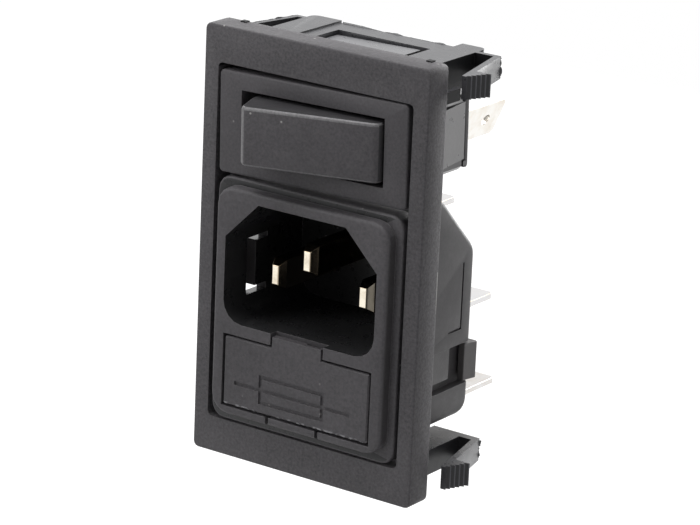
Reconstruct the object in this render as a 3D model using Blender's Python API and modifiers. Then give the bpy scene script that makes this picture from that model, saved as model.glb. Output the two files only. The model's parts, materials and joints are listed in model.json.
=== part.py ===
"""Snap-in power entry module: rocker switch above a fused C14 inlet, both held in one carrier.

World frame: origin at the centre of the bezel in the plane of its back face, which rests on the
panel. -Y is the front, +Y goes through the panel, +Z is up. Sizes below are in millimetres.
"""
import math

import bmesh
import bpy
from mathutils import Matrix, Vector

MM = 0.001
GAP = 0.3
TOUCH = 0.5

# bezel and carrier
BEZEL_W = 35.0
BEZEL_H = 58.0
BEZEL_T = 4.1
BEZEL_CORNER = 0.8
BEZEL_EDGE = 0.2
OPEN_W = 30.5
OPEN_H = 48.2
LIP_W = 28.2
LIP_T = 0.8
WALL_TOP = 27.1
WALL_T = 1.5
WALL_DEPTH = 14.3
BLOCK_IN = 9.4
BLOCK_OUT = 13.2
BLOCK_LOW = 23.3
BLOCK_TOP = 27.5
BLOCK_DEPTH = 15.1
BLOCK_ROUND = 1.0
LEFT_BLOCK_OUT = 13.9
LEFT_BLOCK_TOP = 27.35
LEFT_DEPTH = 14.6
LOW_BLOCK_OUT = 14.2
LOW_BLOCK_FROM = 24.2
LOW_BLOCK_TO = 27.65
LOW_DEPTH = 13.1
WINDOW_LEFT = -7.3
WINDOW_RIGHT = 7.2
WINDOW_FRONT = 2.5
WINDOW_REAR = 11.0
ARM_LOW = 24.5
ARM_WEB = 0.8
ARM_REAR = 13.1
ARM_OUT = 16.65
ARM_TIP_X = 19.5
ARM_TIP_Y = 1.2
ARM_T = 0.85
LEFT_ARM_TOP = 26.85
LOW_ARM_WEB = 1.2
LOW_ARM_TO = 27.3
PAD_LENGTH = 3.2
PAD_RISE = 1.4
PAD_FLUTES = 5
FLUTE_DEEP = 0.45
FLUTE_SHAPE = ((0.0, 0.0), (0.25, 1.0), (0.6, 1.0))
LEDGE_IN = 14.2
LEDGE_OUT = 15.0
LEDGE_LOW = 22.6
LEDGE_HIGH = 24.2
LEDGE_DEPTH = 6.7
NUBS_X = (-13.85, 15.1)
NUB_W = 0.9
NUB_H = 0.15

# switch module, in its own frame: x along the plate, z up, y as in the world
SWITCH_X = -0.1
SWITCH_Z = 16.78
SWITCH_TURN = math.radians(-1.3)
PLATE_W = 29.44
PLATE_H = 13.64
PLATE_T = 3.0
PLATE_CORNER = 0.5
MOUTH_W = 22.4
MOUTH_H = 9.0
BODY_W = 26.4
BODY_H = 9.5
BODY_REAR = 11.0
BODY_EDGE = 0.5
SNAP_OUT = 14.8
SNAP_LOW = -3.4
SNAP_HIGH = 4.2
FOOT_IN = 12.5
FOOT_FRONT = 10.9
WELL_HALF_Z = 4.3
WELL_NARROW = 0.5
WELL_FROM = 3.0
FLANGE_T = 0.9
FLANGE_EDGE = 0.45
PLUG_DEPTH = 0.9
LUG_LEFT = -6.65
LUG_RIGHT = 6.5
LUG_TOP = 26.75
LUG_T = 0.9
LUG_REAR = 10.3
LUG_STEM = 1.2

# rocker, about its pivot
PIVOT_Y = 0.4
ROCKER_SWING = math.radians(12.5)
FACE_REACH = 7.6
FACE_INSET = 2.65
FACE_HALF = MOUTH_W / 2 - FACE_INSET
FACE_ROUND = 1.2
FLANK_INSET = 1.05
ROCKER_BULGE = MOUTH_W / 2 - FLANK_INSET
ROCKER_FACE_Z = 3.9
ROCKER_BASE_Z = WELL_HALF_Z - GAP
ROCKER_EDGE = 0.45
HUB_Y = 1.7
PIVOT_R = 1.25
PIVOT_END = 4.55
BORE_R = 1.4
BORE_DEEP = 4.6

# sprung plunger, its spring, the rocking lever and the contacts
PLUNGER_R = BORE_R - GAP
PLUNGER_TIP = 4.9
PLUNGER_TOP = -1.0
SPRING_R = 0.85
SPRING_WIRE = 0.14
SPRING_TURNS = 4
LEVER_SWING = math.radians(8.0)
LEVER_AXIS_Y = 6.25
LEVER_T = 0.6
LEVER_LEFT = -6.5
LEVER_HALF_Z = 1.6
LEVER_SET = 0.15
CHEEK_IN = 0.75
CHEEK_T = 0.45
CHEEK_DEPTH = 0.75
LIVE_INSET = 1.3
LIVE_X = MOUTH_W / 2 - LIVE_INSET
CONTACT_BACK = 2.9
CONTACT_X = LIVE_X - CONTACT_BACK
CONTACT_R = 1.2
CONTACT_T = 0.5
LEVER_RIGHT = CONTACT_X + CONTACT_R
FIXED_Y = 8.2
FIXED_T = 0.4
STRIP_T = 0.6
HEAD_BACK = 1.6
HEAD_LEFT = CONTACT_X - HEAD_BACK
HEAD_HALF_Z = 1.8
BLADE_T = 0.8
SWITCH_TAB_W = 5.4
SWITCH_TAB_Z = -0.4
SWITCH_TAB_END = 23.6
SWITCH_TAB_CUT = 0.5
SWITCH_TAB_TWIST = math.radians(24.5)
SWITCH_HOLE_BACK = 3.3
TWIST_FROM = 12.8

# inlet module
BASE_HALF_X = 14.65
BASE_LOW = -23.9
BASE_HIGH = 9.35
BASE_ROUND = 2.0
RAISED_HALF_X = 13.6
RAISED_LOW = -22.5
RAISED_HIGH = 8.4
RAISED_ROUND = 2.5
RAISED_Y = -5.75
SIDE_X = 13.5
SIDE_HIGH = 8.9
SLANT_FROM = 6.85
BEND_ROUND = 2.5
INLET_REAR = 14.5
SIDE_LOW = -21.5
REAR_ROUND = 2.0
REAR_EDGE = 0.8
SHROUD_T = 1.2
SHROUD_REAR = 12.5
RECESS_X = 12.2
RECESS_LOW = -17.3
RECESS_HIGH = -11.6
RECESS_FROM = 2.0
PANEL_STEP = 0.15
PANEL_LOW = -15.85
PANEL_REAR = 9.75
CAVITY_HALF_X = 12.0
CAVITY_LOW = -9.8
CAVITY_HIGH = 6.85
CAVITY_CUT = 5.1
CAVITY_ROUND = 3.0
CAVITY_REAR = 11.25
SLIT_FRONT = -0.9
SLIT_REAR = 3.4
SLIT_TOP = 0.35
SLIT_LOW = -7.4
SLIT_WALL = 13.2
SLIT_RELIEF = 1.0
SNAP_FRONT = 0.95
SNAP_TONGUE = (-6.57, -0.31)
HOOK_OUT = 14.6
HOOK_REAR = 2.6
GROOVE = 0.3
GROOVE_Y = 11.75
GROOVE_TOP = -0.4
GROOVE_LOW = -9.25
GROOVE_FRONT = 9.1

# contact pins and rear tabs
PIN_T = 2.0
PIN_H = 4.0
PIN_X = 7.0
PIN_Z = -3.5
EARTH_Z = 0.5
PIN_TIP_Y = -1.4
EARTH_TIP_Y = -4.2
PIN_CHAMFER_X = 0.5
PIN_CHAMFER_Z = 0.7
PIN_CHAMFER_Y = 1.2
STRAP_Y = 13.2
STRAP_T = 0.6
STRAP_HALF = 1.2
TAB_W = 6.3
TAB_T = 0.75
TAB_END = 24.6
EARTH_TAB_END = 25.1
TAB_CUT = 0.5
TAB_HOLE_R = 0.8
TAB_HOLE_BACK = 2.8
EARTH_TAB_Z = 3.2
NEUTRAL_TAB_Z = -8.6
LOAD_TAB_X = 8.0
LOAD_TAB_Z = -20.3

# fuse drawer and what it carries
DRAWER_HALF_X = 11.55
DRAWER_LOW = -21.1
DRAWER_HIGH = -11.7
DRAWER_FACE_T = 1.5
TRAY_HALF_X = 11.2
TRAY_LOW = -20.2
TRAY_HIGH = -12.2
TONGUE_HALF_X = 3.9
TONGUE_TOP = -10.2
TONGUE_T = 1.0
FUSE_Z = -16.2
FUSE_Y = 7.6
SPARE_Y = -1.0
FUSE_HALF = 10.0
CAP_R = 2.6
CAP_BORE = 2.3
CAP_LENGTH = 5.0
CAP_END = 0.5
TUBE_R = 2.1
TUBE_BORE = 1.7
WIRE_R = 0.15
CLIP_Y = 12.4
CLIP_T = 0.5
CLIP_IN = 5.9
CLIP_OUT = 9.5
CLIP_FRONT = 5.8
BAY_REAR = 11.0
SYMBOL_LEFT = -5.8
SYMBOL_RIGHT = 4.65
SYMBOL_LOW = -19.85
SYMBOL_HIGH = -15.9
SYMBOL_LINE = (-9.75, 8.7)
SYMBOL_LINE_Z = -17.9
SYMBOL_W = 0.5
SYMBOL_DEEP = 0.25
LATCH_SLOTS = (-4.35, 3.6)
LATCH_SLOT_W = 0.5
LATCH_SLOT_DEEP = 1.4
COVER_T = 0.8
COVER_HALF_X = 12.2
COVER_LOW = -21.4
COVER_HIGH = -11.9
COVER_LUG_X = 13.5
COVER_LUG_OUT = 14.0
COVER_LUG_Z = (-16.95, -11.9)
COVER_LUG_FRONT = 13.15

# piece materials: colour, roughness, metallic
BLACK = ((0.055, 0.053, 0.055), 0.5, 0.0)
SILVER = ((0.78, 0.76, 0.72), 0.3, 1.0)
BRASS = ((0.72, 0.55, 0.28), 0.35, 1.0)
GLASS = ((0.85, 0.9, 0.9), 0.1, 0.0)
STEEL = ((0.6, 0.6, 0.6), 0.35, 1.0)


def collection(name):
    """Returns a new collection linked to the scene."""
    made = bpy.data.collections.new(name)
    bpy.context.scene.collection.children.link(made)
    return made


def clear_scene():
    """Removes every object of the start scene."""
    for old in list(bpy.data.objects):
        bpy.data.objects.remove(old, do_unlink=True)


clear_scene()
PARTS = collection("power_entry_module")
CUTTERS = collection("cutters")


def paint(name, look):
    """Makes the Principled material of one piece."""
    colour, rough, metallic = look
    made = bpy.data.materials.new("mat_" + name)
    made.use_nodes = True
    shader = made.node_tree.nodes["Principled BSDF"]
    shader.inputs["Base Color"].default_value = (*colour, 1.0)
    shader.inputs["Roughness"].default_value = rough
    shader.inputs["Metallic"].default_value = metallic
    return made


def place(name, data, parent, look):
    """Adds an object: a finished piece when it has a look, otherwise a hidden helper solid."""
    made = bpy.data.objects.new(name, data)
    made.parent = parent
    if look is None:
        CUTTERS.objects.link(made)
        made.hide_render = True
        made.display_type = "WIRE"
    else:
        PARTS.objects.link(made)
        data.materials.append(paint(name, look))
    return made


def frame(name, spot, turn=(0.0, 0.0, 0.0), parent=None):
    """Adds an empty that carries the pieces of one module or one joint."""
    made = bpy.data.objects.new(name, None)
    PARTS.objects.link(made)
    made.empty_display_size = 0.004
    made.location = Vector(spot) * MM
    made.rotation_euler = turn
    made.parent = parent
    return made


def block(name, xs, ys, zs, parent=None, look=None):
    """A box over three ranges."""
    build = bmesh.new()
    bmesh.ops.create_cube(build, size=1.0)
    size = Vector((xs[1] - xs[0], ys[1] - ys[0], zs[1] - zs[0])) * MM
    middle = Vector((xs[0] + xs[1], ys[0] + ys[1], zs[0] + zs[1])) * MM * 0.5
    bmesh.ops.scale(build, vec=size, verts=build.verts)
    bmesh.ops.translate(build, vec=middle, verts=build.verts)
    data = bpy.data.meshes.new(name)
    build.to_mesh(data)
    build.free()
    return place(name, data, parent, look)


def outline_curve(points, span):
    """A filled flat curve through the points, extruded by half the span each way."""
    curve = bpy.data.curves.new("outline", "CURVE")
    curve.dimensions = "2D"
    curve.fill_mode = "BOTH"
    curve.extrude = (span[1] - span[0]) * 0.5 * MM
    spline = curve.splines.new("POLY")
    spline.points.add(len(points) - 1)
    for spot, (first, second) in zip(spline.points, points):
        spot.co = (first * MM, second * MM, 0.0, 1.0)
    spline.use_cyclic_u = True
    return curve


def mesh_of(curve, name):
    """Turns a curve into a closed mesh with its caps welded."""
    holder = bpy.data.objects.new(name, curve)
    CUTTERS.objects.link(holder)
    depsgraph = bpy.context.evaluated_depsgraph_get()
    data = bpy.data.meshes.new_from_object(holder.evaluated_get(depsgraph))
    bpy.data.objects.remove(holder, do_unlink=True)
    build = bmesh.new()
    build.from_mesh(data)
    bmesh.ops.remove_doubles(build, verts=build.verts, dist=0.000001)
    bmesh.ops.dissolve_limit(build, angle_limit=0.01, verts=build.verts, edges=build.edges)
    bmesh.ops.recalc_face_normals(build, faces=build.faces)
    build.to_mesh(data)
    build.free()
    return data


def prism(name, points, span, along, parent=None, look=None):
    """Extrudes an outline along X, Y or Z; its points give the two other axes in order."""
    data = mesh_of(outline_curve(points, span), name)
    middle = (span[0] + span[1]) * 0.5 * MM
    if along == "X":
        turn = Matrix(((0, 0, 1, middle), (1, 0, 0, 0), (0, 1, 0, 0), (0, 0, 0, 1)))
    elif along == "Y":
        turn = Matrix(((1, 0, 0, 0), (0, 0, -1, middle), (0, 1, 0, 0), (0, 0, 0, 1)))
    else:
        turn = Matrix.Translation((0.0, 0.0, middle))
    data.transform(turn)
    return place(name, data, parent, look)


def rounded(left, right, low, high, radius, steps=4):
    """Outline of a rectangle with rounded corners, counter-clockwise."""
    centres = (
        (right - radius, low + radius, -90.0),
        (right - radius, high - radius, 0.0),
        (left + radius, high - radius, 90.0),
        (left + radius, low + radius, 180.0),
    )
    points = []
    for across, up, start in centres:
        for step in range(steps + 1):
            angle = math.radians(start + 90.0 * step / steps)
            points.append((across + radius * math.cos(angle), up + radius * math.sin(angle)))
    return points


def rod(name, radius, span, along, spot, parent=None, look=None, sides=20):
    """A round bar along one axis through a point of the two other axes."""
    build = bmesh.new()
    length = (span[1] - span[0]) * MM
    bmesh.ops.create_cone(
        build, cap_ends=True, segments=sides, radius1=radius * MM, radius2=radius * MM, depth=length
    )
    middle = (span[0] + span[1]) * 0.5
    if along == "X":
        turn = Matrix.Rotation(math.radians(90.0), 4, "Y")
        centre = (middle, spot[0], spot[1])
    elif along == "Y":
        turn = Matrix.Rotation(math.radians(90.0), 4, "X")
        centre = (spot[0], middle, spot[1])
    else:
        turn = Matrix.Identity(4)
        centre = (spot[0], spot[1], middle)
    bmesh.ops.transform(build, matrix=Matrix.Translation(Vector(centre) * MM) @ turn, verts=build.verts)
    data = bpy.data.meshes.new(name)
    build.to_mesh(data)
    build.free()
    return place(name, data, parent, look)


def turned(name, profile, closed, spot, turn, parent, look, steps=20):
    """A turned piece: the profile (radius, height) swept about its own Z, then laid over."""
    data = bpy.data.meshes.new(name)
    edges = [(at, at + 1) for at in range(len(profile) - 1)]
    if closed:
        edges.append((len(profile) - 1, 0))
    data.from_pydata([(radius * MM, 0.0, height * MM) for radius, height in profile], edges, [])
    made = place(name, data, parent, look)
    sweep = made.modifiers.new("sweep", "SCREW")
    sweep.axis = "Z"
    sweep.angle = math.tau
    sweep.steps = steps
    sweep.render_steps = steps
    sweep.use_merge_vertices = True
    sweep.merge_threshold = 0.00001
    made.location = Vector(spot) * MM
    made.rotation_euler = turn
    return made


def soften(target, width, segments=2, angle=40.0):
    """Rounds the sharp edges of a piece."""
    step = target.modifiers.new("edges", "BEVEL")
    step.width = width * MM
    step.segments = segments
    step.limit_method = "ANGLE"
    step.angle_limit = math.radians(angle)
    return target


def mirrored(target, across_x=True, across_z=False):
    """Repeats a solid on the other side of the carrier."""
    step = target.modifiers.new("mirror", "MIRROR")
    step.use_axis = (across_x, False, across_z)
    step.use_mirror_merge = False
    return target


def boolean(target, other, how):
    """Adds one exact boolean step."""
    step = target.modifiers.new(how.lower() + "_" + other.name, "BOOLEAN")
    step.operation = how
    step.solver = "EXACT"
    step.object = other


def join(target, *others):
    """Adds solids to a piece."""
    for other in others:
        boolean(target, other, "UNION")


def cut(target, *others):
    """Takes solids away from a piece."""
    for other in others:
        boolean(target, other, "DIFFERENCE")


def arm_outline(block_out, rear, web):
    """One snap arm from above: web at the rear, leg forward and outward, fluted pad at its end."""
    lean = (ARM_TIP_X - ARM_OUT) / (rear - ARM_TIP_Y)
    inner_rear = rear - web
    pad_rear = ARM_TIP_Y + PAD_LENGTH
    leg_at_pad = ARM_OUT + lean * (rear - pad_rear)
    points = [(block_out - TOUCH, inner_rear)]
    points.append((ARM_OUT + lean * web - ARM_T, inner_rear))
    points.append((ARM_TIP_X - ARM_T, ARM_TIP_Y))
    for flute in range(PAD_FLUTES):
        for along, deep in FLUTE_SHAPE:
            share = (flute + along) / PAD_FLUTES
            across = ARM_TIP_X + PAD_RISE * share - FLUTE_DEEP * deep
            points.append((across, ARM_TIP_Y + PAD_LENGTH * share))
    points.append((ARM_TIP_X + PAD_RISE, pad_rear))
    points.append((leg_at_pad, pad_rear))
    points.append((ARM_OUT, rear))
    points.append((block_out - TOUCH, rear))
    return points


def corner_block_outline(out, rear, radius):
    """One corner block from above, its outer rear corner rounded where a radius is given."""
    points = [(BLOCK_IN, -TOUCH), (out, -TOUCH)]
    if radius:
        for step in range(5):
            angle = math.radians(90.0 * step / 4)
            points.append((out - radius + radius * math.cos(angle), rear - radius + radius * math.sin(angle)))
    else:
        points.append((out, rear))
    points.append((BLOCK_IN, rear))
    return points


def flipped(outline):
    """The same outline on the left side."""
    return [(-across, deep) for across, deep in reversed(outline)]


def make_carrier():
    """The carrier: bezel, walls behind it, corner blocks, ledges and the four snap arms."""
    half_w = BEZEL_W / 2
    half_h = BEZEL_H / 2
    bezel = rounded(-half_w, half_w, -half_h, half_h, BEZEL_CORNER, 3)
    body = prism("carrier_frame", bezel, (-BEZEL_T, 0.0), "Y", None, BLACK)
    soften(body, BEZEL_EDGE, 2)
    opening = rounded(-OPEN_W / 2, OPEN_W / 2, -OPEN_H / 2, OPEN_H / 2, 0.6, 2)
    cut(body, prism("cut_opening", opening, (-BEZEL_T - 1.0, -LIP_T), "Y"))
    cut(body, block("cut_lip", (-LIP_W / 2, LIP_W / 2), (-BEZEL_T, 1.0), (-OPEN_H / 2, OPEN_H / 2)))
    wall_span = (WALL_TOP - WALL_T, WALL_TOP)
    wall_x = BLOCK_IN + TOUCH
    wall = block("add_wall", (-wall_x, wall_x), (-TOUCH, WALL_DEPTH), wall_span)
    join(body, mirrored(wall, False, True))
    right_block = corner_block_outline(BLOCK_OUT, BLOCK_DEPTH, BLOCK_ROUND)
    left_block = flipped(corner_block_outline(LEFT_BLOCK_OUT, LEFT_DEPTH, BLOCK_ROUND))
    join(body, prism("add_right_block", right_block, (BLOCK_LOW, BLOCK_TOP), "Z"))
    join(body, prism("add_left_block", left_block, (BLOCK_LOW, LEFT_BLOCK_TOP), "Z"))
    right_arm = arm_outline(BLOCK_OUT, ARM_REAR, ARM_WEB)
    left_arm = flipped(arm_outline(LEFT_BLOCK_OUT, LEFT_DEPTH, ARM_WEB))
    join(body, prism("add_right_arm", right_arm, (ARM_LOW, BLOCK_TOP), "Z"))
    join(body, prism("add_left_arm", left_arm, (ARM_LOW, LEFT_ARM_TOP), "Z"))
    low_block = corner_block_outline(LOW_BLOCK_OUT, LOW_DEPTH, 0.0)
    low_blocks = prism("add_low_blocks", low_block, (-LOW_BLOCK_TO, -LOW_BLOCK_FROM), "Z")
    join(body, mirrored(low_blocks))
    low_arm = arm_outline(LOW_BLOCK_OUT, LOW_DEPTH, LOW_ARM_WEB)
    join(body, mirrored(prism("add_low_arms", low_arm, (-LOW_ARM_TO, -LOW_BLOCK_FROM), "Z")))
    ledge_z = (LEDGE_LOW, LEDGE_HIGH)
    ledges = block("add_ledges", (LEDGE_IN, LEDGE_OUT), (-TOUCH, LEDGE_DEPTH), ledge_z)
    join(body, mirrored(ledges))
    for index, across in enumerate(NUBS_X):
        nub_x = (across - NUB_W / 2, across + NUB_W / 2)
        join(body, block(f"add_nub_{index}", nub_x, (-1.0, -BEZEL_EDGE), (half_h - TOUCH, half_h + NUB_H)))
    window_y = (WINDOW_FRONT, WINDOW_REAR)
    window_z = (WALL_TOP - WALL_T - 1.0, WALL_TOP + 1.0)
    window = block("cut_window", (WINDOW_LEFT, WINDOW_RIGHT), window_y, window_z)
    cut(body, mirrored(window, False, True))


def well_half_width(depth):
    """Half width of the space inside the switch body at a depth."""
    share = max(0.0, (depth - WELL_FROM) / (BODY_REAR - WELL_FROM))
    return MOUTH_W / 2 - WELL_NARROW * share


def make_switch_housing(module):
    """The switch housing: plate with the rocker mouth, body, side snap ramps and the upper lug."""
    plate_back = PLATE_T - BEZEL_T
    half_w = PLATE_W / 2
    half_h = PLATE_H / 2
    plate = rounded(-half_w, half_w, -half_h, half_h, PLATE_CORNER, 2)
    body = prism("switch_housing", plate, (-BEZEL_T, plate_back), "Y", module, BLACK)
    soften(body, 0.25, 2)
    side = BODY_W / 2
    half_z = BODY_H / 2
    shell_y = (plate_back - TOUCH, BODY_REAR)
    shell = block("add_shell", (-side, side), shell_y, (-half_z, half_z), module)
    join(body, soften(shell, BODY_EDGE, 1))
    ramp = [(side - TOUCH, GAP), (SNAP_OUT, GAP), (side, BODY_REAR), (side - TOUCH, BODY_REAR)]
    join(body, mirrored(prism("add_ramps", ramp, (SNAP_LOW, SNAP_HIGH), "Z", module)))
    lug_top = LUG_TOP - SWITCH_Z
    lug_front = WINDOW_FRONT + GAP
    lug_x = (LUG_LEFT, LUG_RIGHT)
    join(body, block("add_lug", lug_x, (lug_front, LUG_REAR), (lug_top - LUG_T, lug_top), module))
    stem_y = (LUG_REAR - LUG_STEM, LUG_REAR)
    join(body, block("add_stem", lug_x, stem_y, (half_z - TOUCH, lug_top - LUG_T / 2), module))
    far = BODY_REAR + 1.0
    near = -BEZEL_T - 1.0
    mouth = MOUTH_W / 2
    tail = well_half_width(far)
    cut(body, block("cut_mouth", (-mouth, mouth), (near, plate_back), (-MOUTH_H / 2, MOUTH_H / 2), module))
    well = [(-mouth, near), (mouth, near), (mouth, WELL_FROM), (tail, far), (-tail, far), (-mouth, WELL_FROM)]
    cut(body, prism("cut_well", well, (-WELL_HALF_Z, WELL_HALF_Z), "Z", module))
    notch_x = (FOOT_IN - GAP, side + TOUCH)
    notch_y = (FOOT_FRONT - GAP, BODY_REAR + TOUCH)
    notch = block("cut_foot_notches", notch_x, notch_y, (-half_z - TOUCH, SNAP_LOW), module)
    cut(body, mirrored(notch))
    hole = PIVOT_R + GAP
    cut(body, rod("cut_pivot", hole, (-half_z - 1.0, half_z + 1.0), "Z", (0.0, PIVOT_Y), module, None, 24))


def make_switch_base(module):
    """The rear cover of the switch with a foot at each side and a slot for each terminal."""
    front = BODY_REAR + GAP
    rear = front + FLANGE_T
    half_x = BODY_W / 2
    half_z = BODY_H / 2
    base = block("switch_base", (-half_x, half_x), (front, rear), (-half_z, half_z), module, BLACK)
    soften(base, FLANGE_EDGE, 2)
    foot_z = (FLANGE_EDGE - half_z, SNAP_LOW - GAP)
    foot = block("add_feet", (FOOT_IN, half_x), (FOOT_FRONT, front + TOUCH), foot_z, module)
    join(base, mirrored(foot))
    plug_x = well_half_width(front) - GAP
    plug_z = WELL_HALF_Z - GAP
    plug_y = (front - PLUG_DEPTH, front + TOUCH)
    join(base, block("add_plug", (-plug_x, plug_x), plug_y, (-plug_z, plug_z), module))
    slot_x = BLADE_T / 2 + GAP
    slot_half = SWITCH_TAB_W / 2 + GAP
    slot_z = (SWITCH_TAB_Z - slot_half, SWITCH_TAB_Z + slot_half)
    for name, across in (("cut_common_slot", 0.0), ("cut_live_slot", LIVE_X)):
        xs = (across - slot_x, across + slot_x)
        cut(base, block(name, xs, (front - 2.0, rear + 1.0), slot_z, module))


def rocker_outline():
    """The rocker from above, about its pivot: flat face, rounded ends, straight flanks, hub."""
    half = []
    for step in range(5):
        angle = math.radians(90.0 * step / 4)
        across = FACE_HALF + FACE_ROUND * math.sin(angle)
        deep = -FACE_REACH + FACE_ROUND * (1.0 - math.cos(angle))
        half.append((across, deep))
    half.append((ROCKER_BULGE, -3.0))
    half.append((ROCKER_BULGE - 0.15, -0.2))
    half.append((FACE_HALF, 0.9))
    half.append((2.9, 0.9))
    half.append((2.3, HUB_Y))
    other = [(-across, deep) for across, deep in reversed(half)]
    return half + other


def make_rocker(hinge):
    """The rocker with its two pivots, the draft of its flanks and the bore for the plunger."""
    span = (-ROCKER_BASE_Z, ROCKER_BASE_Z)
    body = prism("rocker", rocker_outline(), span, "Z", hinge, BLACK)
    for vertex in body.data.vertices:
        share = min(1.0, max(0.0, -vertex.co.y / (FACE_REACH * MM)))
        vertex.co.z *= 1.0 - share * (1.0 - ROCKER_FACE_Z / ROCKER_BASE_Z)
    soften(body, ROCKER_EDGE, 3, 50.0)
    join(body, rod("add_pivots", PIVOT_R, (-PIVOT_END, PIVOT_END), "Z", (0.0, 0.0), hinge))
    cut(body, rod("cut_bore", BORE_R, (-BORE_DEEP, HUB_Y + 1.0), "Y", (0.0, 0.0), hinge))


def make_plunger(hinge):
    """The sprung plunger: a round pin with a domed tip, sliding in the rocker's bore."""
    profile = [(0.0, PLUNGER_TIP)]
    for step in range(1, 5):
        angle = math.radians(90.0 * step / 4)
        profile.append((PLUNGER_R * math.sin(angle), PLUNGER_TIP - PLUNGER_R * (1.0 - math.cos(angle))))
    profile.append((PLUNGER_R, PLUNGER_TOP))
    profile.append((0.0, PLUNGER_TOP))
    turn = (math.radians(-90.0), 0.0, 0.0)
    turned("rocker_plunger", profile, False, (0.0, 0.0, 0.0), turn, hinge, BRASS)


def make_spring(hinge):
    """The coil spring between the bottom of the bore and the plunger."""
    first = -BORE_DEEP + GAP + SPRING_WIRE
    last = PLUNGER_TOP - GAP - SPRING_WIRE
    count = SPRING_TURNS * 12
    curve = bpy.data.curves.new("plunger_spring", "CURVE")
    curve.dimensions = "3D"
    curve.bevel_depth = SPRING_WIRE * MM
    curve.bevel_resolution = 2
    curve.use_fill_caps = True
    spline = curve.splines.new("POLY")
    spline.points.add(count)
    for at, spot in enumerate(spline.points):
        angle = math.tau * at / 12
        deep = first + (last - first) * at / count
        spot.co = (SPRING_R * math.cos(angle) * MM, deep * MM, SPRING_R * math.sin(angle) * MM, 1.0)
    place("plunger_spring", mesh_of(curve, "plunger_spring"), hinge, STEEL)


def make_lever(pivot):
    """The rocking contact lever with the two cheeks that keep it on the common terminal."""
    under = -LEVER_SET
    plate_y = (under - LEVER_T, under)
    half_z = (-LEVER_HALF_Z, LEVER_HALF_Z)
    lever = block("contact_lever", (LEVER_LEFT, LEVER_RIGHT), plate_y, half_z, pivot, BRASS)
    cheek_y = (under - LEVER_T / 2, under + CHEEK_DEPTH)
    cheek = block("add_cheek", (CHEEK_IN, CHEEK_IN + CHEEK_T), cheek_y, half_z, pivot)
    other = block("add_other_cheek", (-CHEEK_IN - CHEEK_T, -CHEEK_IN), cheek_y, half_z, pivot)
    join(lever, cheek, other)


def make_contacts(module, pivot):
    """The moving contact under the lever's end and the fixed one that faces it."""
    turn = (math.radians(-90.0), 0.0, 0.0)
    low = GAP - LEVER_SET
    moving = [(0.0, low + CONTACT_T), (CONTACT_R, low + CONTACT_T), (CONTACT_R, low), (0.0, low)]
    turned("moving_contact", moving, False, (CONTACT_X, 0.0, 0.0), turn, pivot, SILVER)
    fixed = [(0.0, FIXED_T), (CONTACT_R, FIXED_T), (CONTACT_R, 0.0), (0.0, 0.0)]
    turned("fixed_contact", fixed, False, (CONTACT_X, FIXED_Y, 0.0), turn, module, SILVER)


def tab_outline(half, start, end, corner):
    """Flat tab outline: a rectangle whose far corners are cut."""
    return [
        (-half, start),
        (half, start),
        (half, end - corner),
        (half - corner, end),
        (-half + corner, end),
        (-half, end - corner),
    ]


def switch_tab(name, across, module, twist):
    """The outer part of a switch terminal, twisted about its own length."""
    holder = frame(name + "_frame", (across, 0.0, SWITCH_TAB_Z), (0.0, twist, 0.0), module)
    outline = tab_outline(SWITCH_TAB_W / 2, TWIST_FROM, SWITCH_TAB_END, SWITCH_TAB_CUT)
    points = [(deep, up) for up, deep in outline]
    tab = prism("add_" + name, points, (-BLADE_T / 2, BLADE_T / 2), "X", holder)
    hole_y = SWITCH_TAB_END - SWITCH_HOLE_BACK
    hole = rod("cut_" + name, TAB_HOLE_R, (-2.0, 2.0), "X", (hole_y, 0.0), holder, None, 16)
    return tab, hole


def make_switch_terminals(module):
    """The common terminal under the lever and the live terminal under the fixed contact."""
    zs = (SWITCH_TAB_Z - SWITCH_TAB_W / 2, SWITCH_TAB_Z + SWITCH_TAB_W / 2)
    common_top = LEVER_AXIS_Y - LEVER_SET + GAP
    xs = (-BLADE_T / 2, BLADE_T / 2)
    common = block("common_terminal", xs, (common_top, TWIST_FROM + TOUCH), zs, module, BRASS)
    tab, hole = switch_tab("common_tab", 0.0, module, SWITCH_TAB_TWIST)
    join(common, tab)
    cut(common, hole)
    head_y = FIXED_Y + FIXED_T + GAP
    xs = (LIVE_X - BLADE_T / 2, LIVE_X + BLADE_T / 2)
    live = block("live_terminal", xs, (head_y, TWIST_FROM + TOUCH), zs, module, BRASS)
    head_z = (-HEAD_HALF_Z, HEAD_HALF_Z)
    join(live, block("add_head", (HEAD_LEFT, LIVE_X), (head_y, head_y + STRIP_T), head_z, module))
    tab, hole = switch_tab("live_tab", LIVE_X, module, SWITCH_TAB_TWIST)
    join(live, tab)
    cut(live, hole)


def cavity_outline(grow):
    """C14 mouth outline grown outward: two cut upper corners, two rounded lower ones."""
    half = CAVITY_HALF_X + grow
    low = CAVITY_LOW - grow
    high = CAVITY_HIGH + grow
    nick = CAVITY_CUT + grow * 0.586
    radius = CAVITY_ROUND + grow
    points = []
    for centre, start in ((-half + radius, 180.0), (half - radius, 270.0)):
        for step in range(5):
            angle = math.radians(start + 90.0 * step / 4)
            points.append((centre + radius * math.cos(angle), low + radius + radius * math.sin(angle)))
    points += [(half, high - nick), (half - nick, high), (-half + nick, high), (-half, high - nick)]
    return points


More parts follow.
